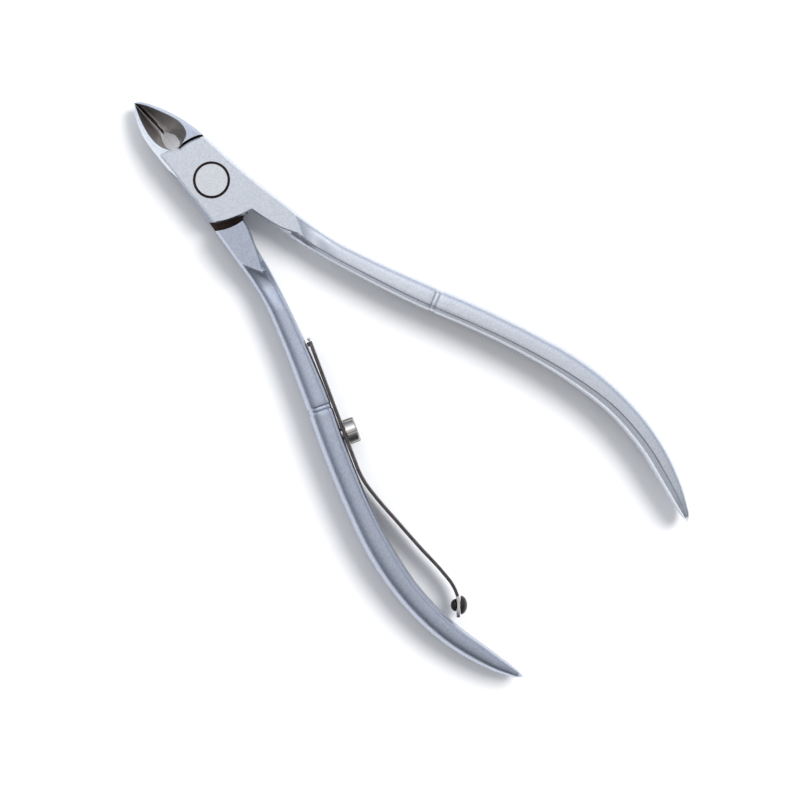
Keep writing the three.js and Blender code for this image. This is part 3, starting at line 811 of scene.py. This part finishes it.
def make_rear_lever():
    plan = Handle(REAR_BOW, REAR_SHARE, REAR_SQUARENESS)
    lever = turn_over(lever_body("rear_lever_finish", plan, REAR_LOWER, REAR_INNER, REAR_RIGHT))
    tooth = combine(jaw(1), front_half_disc(MID - LAP_GAP / 2, THICK + OVERRUN), "DIFFERENCE")
    combine(lever, tooth, "UNION")
    for step in ledge_cutters(MID - LAP_GAP / 2 - LEDGE_STEP, MID + LAP_GAP):
        combine(lever, step, "DIFFERENCE")
    # This cutter is inside-out like every turned piece, so it leaves the handle whole.
    bore = screw_pillar(SHANK_RADIUS + SCREW_PLAY, -SHANK_DEPTH - SCREW_PLAY, 2 * OVERRUN)
    combine(lever, bore, "DIFFERENCE")
    finish_piece(lever, "rear_lever", [REAR_STEEL_PAINTED_SHADE, *LEVER_MATERIALS], rear_material)


# ---------------------------------------------------------------- leaf spring

SCREW_CENTRE = np.array([-12.1, -43.35])
LEAF_TURN = math.atan2(-0.923, -0.385)
LEAF_THICKNESS = 0.5
LEAF_WIDTH = 4.8
LEAF_END_WIDTH = 3.4
SHORT_LEG = 15.5
SHANK_RADIUS = 1.0
SHANK_DEPTH = 3.3
SCREW_PLAY = 0.1
SCREW_HEAD_HEIGHT = 1.75
SLOT_DEPTH = 0.7
SLOT_WIDTH = 0.55
ALONG = np.array([math.cos(LEAF_TURN), math.sin(LEAF_TURN)])
OUT = np.array([-math.sin(LEAF_TURN), math.cos(LEAF_TURN)])


def on_leaf(along, out):
    return SCREW_CENTRE + ALONG * along + OUT * out


LEAF_POINTS = [on_leaf(*place) for place in [
    (-SHORT_LEG, 0), (-8, 0), (0, 0), (4.5, 0), (6.6, 0.04), (8.6, 0.34), (11, 1.05),
    (16, 2.9), (21, 4.8), (26.2, 6.9), (28.5, 7.6), (30.4, 7.7), (33.6, 6.65),
]]
LEAF_LENGTHS = np.concatenate([[0], np.cumsum(np.linalg.norm(np.diff(LEAF_POINTS, axis=0), axis=1))])
leaf_at = through(LEAF_LENGTHS, LEAF_POINTS)
LEAF_LENGTH = LEAF_LENGTHS[-1]
BUMPER_PLACE = 0.963 * LEAF_LENGTH
LEAF_ROUND = 0.09
LEAF_RINGS = 150
END_ROUND = 1.2  # the length over which the strip's ends round off
END_NARROWING = 1.3
CUT_REACH = 2
NECK_RADIUS = 0.6
NECK_HOLE = 0.68


def leaf_side(place):
    tangent = leaf_at(place + 0.05) - leaf_at(place - 0.05)
    tangent /= np.linalg.norm(tangent)
    return np.array([-tangent[1], tangent[0]])


def leaf_ring(place, width):
    """A section of the strip, with rounded edges."""
    centre = leaf_at(place)
    side = leaf_side(min(max(place, 0.06), LEAF_LENGTH - 0.06))
    ring = []
    for corner_out, corner_up, first in ((-1, -1, 2), (1, -1, 3), (1, 1, 0), (-1, 1, 1)):
        for step in range(4):
            angle = math.pi / 2 * (first + step / 3)
            out = corner_out * (LEAF_THICKNESS / 2 - LEAF_ROUND) + LEAF_ROUND * math.cos(angle)
            up = corner_up * (width / 2 - LEAF_ROUND) + LEAF_ROUND * math.sin(angle)
            ring.append((*(centre + side * out), MID + up))
    return ring


def leaf_width(place):
    taper = ease((place / LEAF_LENGTH - 0.45) / 0.55)
    return mix(LEAF_WIDTH, LEAF_END_WIDTH, taper)


def make_leaf_spring():
    rings = []
    for place in np.linspace(0, LEAF_LENGTH, LEAF_RINGS):
        nearness = min(place, LEAF_LENGTH - place)
        end = math.sqrt(max(1 - max(1 - nearness / END_ROUND, 0) ** 2, 0))
        width = leaf_width(place) - END_NARROWING * (1 - end)
        rings.append(leaf_ring(place, width))
    leaf = loft("leaf_spring_finish", rings)
    combine(leaf, leaf_block(-SHORT_LEG + 0.02, 0.62, -0.6, 0.1, LEAF_END_WIDTH - 0.4), "UNION")
    combine(leaf, leaf_bead(), "UNION")
    # Both cutters are inside-out like every turned piece, so they leave the leaf whole.
    combine(leaf, screw_pillar(SHANK_RADIUS + SCREW_PLAY, -CUT_REACH, CUT_REACH), "DIFFERENCE")
    neck_hole = [(0, -CUT_REACH), (NECK_HOLE, -CUT_REACH), (NECK_HOLE, CUT_REACH), (0, CUT_REACH)]
    combine(leaf, turned("cutter", neck_hole, *bumper_frame()), "DIFFERENCE")
    finish_piece(leaf, "spring", [SPRING_STEEL, LEAF_PAINTED_HIGHLIGHT], leaf_material)


def leaf_material(centre, normal, corners):
    place = np.array([centre.x, centre.y])
    # The leaf's edges round the bumper and its rolled tip get the painted highlight.
    if np.linalg.norm(place - leaf_at(BUMPER_PLACE)) < 1.6 and abs(normal.z) > 0.5:
        return 1
    return 1 if np.dot(place - SCREW_CENTRE, ALONG) < -SHORT_LEG - 0.05 else 0


def leaf_block(start, length, low_out, high_out, width):
    """A block on the leaf, given by its place along it and out from the handle."""
    corners = [(start, low_out), (start + length, low_out), (start + length, high_out), (start, high_out)]
    plan = [on_leaf(*corner) for corner in corners]
    return slab(plan, MID - width / 2, MID + width / 2)


def leaf_bead():
    """The rolled tip of the leaf's short end."""
    middle = on_leaf(-SHORT_LEG - 0.42, -0.02)
    rings = []
    for up in np.linspace(-1, 1, 15):
        radius = 0.3 * (1 - abs(up) ** 6 * 0.6)
        ring = [(middle[0] + radius * math.cos(a), middle[1] + radius * math.sin(a), MID + up * 1.15)
                for a in np.linspace(0, 2 * math.pi, 24, endpoint=False)]
        rings.append(ring)
    bead = loft("bead", rings)
    return combine(bead, leaf_block(-SHORT_LEG - 0.5, 0.9, -0.1, 0.06, 1.9), "UNION")


# ---------------------------------------------------------------- turned pieces

TURNED_SIDES = 96
PIN_SIDES = 128
POINT_RADIUS = 0.002  # a profile's ends on the axis keep this radius, so that their rings stay rings


def turned(name, profile, centre, axis):
    """A profile of radius and height turned round an axis that lies in plan.

    Its rings run clockwise seen from the far end, so its faces point inward.
    """
    side = np.array([-axis[1], axis[0]])
    rings = []
    for radius, far in profile:
        radius = max(radius, POINT_RADIUS)
        middle = centre + axis * far
        rings.append([(*(middle - side * radius * math.cos(a)), MID + radius * math.sin(a))
                      for a in (np.arange(TURNED_SIDES) + 0.5) * 2 * math.pi / TURNED_SIDES])
    return loft(name, rings)


def screw_pillar(radius, low, high):
    return turned("cutter", [(radius, low), (radius, high)], SCREW_CENTRE, OUT)


def rounded(corner, radius_step, far_step, steps=4):
    """A quarter round from one side of a profile's corner to the other."""
    radius, far = corner
    return [(radius - radius_step * (1 - math.cos(a)), far + far_step * math.sin(a))
            for a in np.linspace(0, math.pi / 2, steps)]


def make_spring_screw():
    seat = LEAF_THICKNESS / 2 + SCREW_PLAY
    top = seat + SCREW_HEAD_HEIGHT
    radius = (screw_high[2] - screw_low[2]) / 2
    profile = [(0, -SHANK_DEPTH), (SHANK_RADIUS - 0.15, -SHANK_DEPTH), (SHANK_RADIUS, -SHANK_DEPTH + 0.15),
               (SHANK_RADIUS, seat), (radius - 0.06, seat), (radius, seat + 0.06), (radius, top - 0.22),
               *rounded((radius - 0.03, top - 0.2), 0.2, 0.2), (0, top)]
    screw = turned("spring_screw_finish", profile, SCREW_CENTRE, OUT)
    across = ALONG * 3
    base = SCREW_CENTRE + OUT * (top - SLOT_DEPTH)
    far = SCREW_CENTRE + OUT * (top + 0.5)
    corners = [base - across, far - across, far + across, base + across]
    combine(screw, slab(corners[::-1], MID - SLOT_WIDTH / 2, MID + SLOT_WIDTH / 2), "DIFFERENCE")
    finish_piece(screw, "rear_lever", [PAINTED_REFLECTION_NICKEL])


def bumper_frame():
    return leaf_at(BUMPER_PLACE), leaf_side(BUMPER_PLACE)


def dome(radius, height, base, steps=14):
    """A dome's profile from its rounded rim to its crown."""
    points = [(radius - 0.08, base), (radius - 0.02, base + 0.05)]
    points += [(radius * math.cos(a), base + 0.12 + (height - 0.12) * math.sin(a) ** 1.1)
               for a in np.linspace(0, math.pi / 2, steps)]
    return points


def make_bumper():
    base = LEAF_THICKNESS / 2 + 0.08
    button = [(radius, -far) for radius, far in reversed(dome(1.0, 0.9, base))]
    profile = [*button, (NECK_RADIUS, -base), (NECK_RADIUS, base), *dome(1.5, 1.05, base)]
    bumper = turned("bumper_finish", profile, *bumper_frame())
    finish_piece(bumper, "spring", [BLACK_PLASTIC])


def make_pin():
    """The pin's outline from its riveted rear end to its head, turned round the pivot axis."""
    neck = THICK - 1.2
    profile = [
        (POINT_RADIUS, 0), (PIN_RADIUS - 0.1, 0), (PIN_RADIUS, 0.1), (PIN_RADIUS, neck),
        (HEAD_RADIUS, neck), (HEAD_RADIUS, THICK - 0.5),
        (HEAD_RADIUS - 0.04, THICK - 0.45), (HEAD_RADIUS - 0.04, THICK - 0.07),
        (HEAD_RADIUS - 0.06, THICK - 0.03), (HEAD_RADIUS - 0.11, THICK), (POINT_RADIUS, THICK),
    ]
    rings = [[(radius * math.cos(a), radius * math.sin(a), z)
              for a in np.linspace(0, 2 * math.pi, PIN_SIDES, endpoint=False)] for radius, z in profile]
    finish_piece(loft("pivot_pin_finish", rings), "rear_lever", [PIN_STEEL])


make_front_lever()
make_rear_lever()
make_pin()
make_leaf_spring()
make_spring_screw()
make_bumper()


# ---------------------------------------------------------------- stage

IMAGE_RIGHT = Vector((0.7288, -0.6847, 0))
IMAGE_UP = Vector((0.6847, 0.7288, 0))
VIEW_CENTRE = Vector((-2.09, -45.53, MID))
VIEW_WIDTH = 126.8
LENS = 120
SENSOR = 36
FLOOR_SIZE = 3000


def make_camera():
    """Straight above the tool, turned so that the tool lies slantwise in the frame."""
    data = bpy.data.cameras.new("camera")
    data.lens = LENS
    data.sensor_width = SENSOR
    camera = bpy.data.objects.new("camera", data)
    distance = VIEW_WIDTH * LENS / SENSOR
    turn = Matrix((IMAGE_RIGHT, IMAGE_UP, Vector((0, 0, 1)))).transposed().to_4x4()
    camera.matrix_world = Matrix.Translation((VIEW_CENTRE + Vector((0, 0, distance))) * METRES) @ turn
    data.clip_start = 0.01
    data.clip_end = 10
    bpy.context.scene.collection.objects.link(camera)
    bpy.context.scene.camera = camera


def make_floor():
    half = FLOOR_SIZE / 2
    plan = [(-half, -half), (half, -half), (half, half), (-half, half)]
    floor = new_piece("floor", [(x, y, FLOOR_Z) for x, y in plan], [(0, 1, 2, 3)])
    floor.data.transform(Matrix.Scale(METRES, 4))
    material, _, _ = new_material("floor_white", (0.92, 0.92, 0.92), 0.0, 0.9)
    floor.data.materials.append(material)


SUN_ELEVATION = math.radians(57.5)
KEY_ENERGY = 2.25
KEY_ANGLE = math.radians(25)
FILL_ENERGY = 0.4
FILL_ANGLE = math.radians(160)
FILL_COLOUR = (1.0, 0.95, 0.88)


def make_sun(name, towards, energy, angle, colour=(1, 1, 1)):
    """A sun that lights surfaces but isn't mirrored by them."""
    data = bpy.data.lights.new(name, "SUN")
    data.energy = energy
    data.angle = angle
    data.color = colour
    sun = bpy.data.objects.new(name, data)
    sun.visible_glossy = False
    sun.rotation_mode = "QUATERNION"
    sun.rotation_quaternion = towards.to_track_quat("Z", "Y")
    bpy.context.scene.collection.objects.link(sun)


def make_lights():
    """A soft key light from the upper right and a very soft, faintly warm one from overhead."""
    across = (IMAGE_RIGHT * 1.35 + IMAGE_UP * 0.75).normalized()
    key = across * math.cos(SUN_ELEVATION) + Vector((0, 0, math.sin(SUN_ELEVATION)))
    make_sun("key", key, KEY_ENERGY, KEY_ANGLE)
    make_sun("fill", Vector((0, 0, 1)), FILL_ENERGY, FILL_ANGLE, FILL_COLOUR)


SKY = [
    (0.0, (0.25, 0.275, 0.33)),
    (0.35, (0.29, 0.32, 0.38)),
    (0.77, (0.475, 0.50, 0.55)),
    (0.94, (0.645, 0.66, 0.69)),
    (1.0, (0.74, 0.745, 0.76)),
]
BRIGHTER_TOWARDS = (0.56, 0.66, 0.0)  # how much brighter the studio is towards the light's side
GLOW_TOWARDS = (0.2, 0.55, 0.8)
GLOW_START = 0.84  # the cosine of the angle from the glow's middle at which it begins
GLOW_STRENGTH = 0.6


def make_world():
    """A studio: bright above, brighter on the light's side, a soft glow ahead of the jaws."""
    world = bpy.data.worlds.new("studio")
    world.use_nodes = True
    bpy.context.scene.world = world
    nodes, links = world.node_tree.nodes, world.node_tree.links
    background = nodes["Background"]
    place = nodes.new("ShaderNodeTexCoord")
    split = nodes.new("ShaderNodeSeparateXYZ")
    links.new(place.outputs["Generated"], split.inputs["Vector"])
    height = nodes.new("ShaderNodeValToRGB")
    ramp = height.color_ramp
    ramp.elements[0].position = SKY[0][0]
    ramp.elements[0].color = (*SKY[0][1], 1)
    ramp.elements[1].position = SKY[-1][0]
    ramp.elements[1].color = (*SKY[-1][1], 1)
    for position, colour in SKY[1:-1]:
        ramp.elements.new(position).color = (*colour, 1)
    links.new(split.outputs["Z"], height.inputs["Fac"])
    slope = nodes.new("ShaderNodeVectorMath")
    slope.operation = "DOT_PRODUCT"
    slope.inputs[1].default_value = BRIGHTER_TOWARDS
    links.new(place.outputs["Generated"], slope.inputs[0])
    side = nodes.new("ShaderNodeMath")
    side.operation = "ADD"
    side.inputs[1].default_value = 1.0
    links.new(slope.outputs["Value"], side.inputs[0])
    facing = nodes.new("ShaderNodeVectorMath")
    facing.operation = "DOT_PRODUCT"
    facing.inputs[1].default_value = Vector(GLOW_TOWARDS).normalized()
    links.new(place.outputs["Generated"], facing.inputs[0])
    glow = nodes.new("ShaderNodeMapRange")
    glow.inputs["From Min"].default_value = GLOW_START
    glow.inputs["From Max"].default_value = 1.0
    glow.inputs["To Max"].default_value = GLOW_STRENGTH
    links.new(facing.outputs["Value"], glow.inputs["Value"])
    shaded = nodes.new("ShaderNodeVectorMath")
    shaded.operation = "SCALE"
    links.new(height.outputs["Color"], shaded.inputs[0])
    links.new(side.outputs["Value"], shaded.inputs["Scale"])
    add = nodes.new("ShaderNodeVectorMath")
    add.operation = "ADD"
    links.new(shaded.outputs["Vector"], add.inputs[0])
    links.new(glow.outputs["Result"], add.inputs[1])
    links.new(add.outputs["Vector"], background.inputs["Color"])


make_camera()
make_floor()
make_lights()
make_world()
bpy.context.scene.view_settings.view_transform = "Standard"
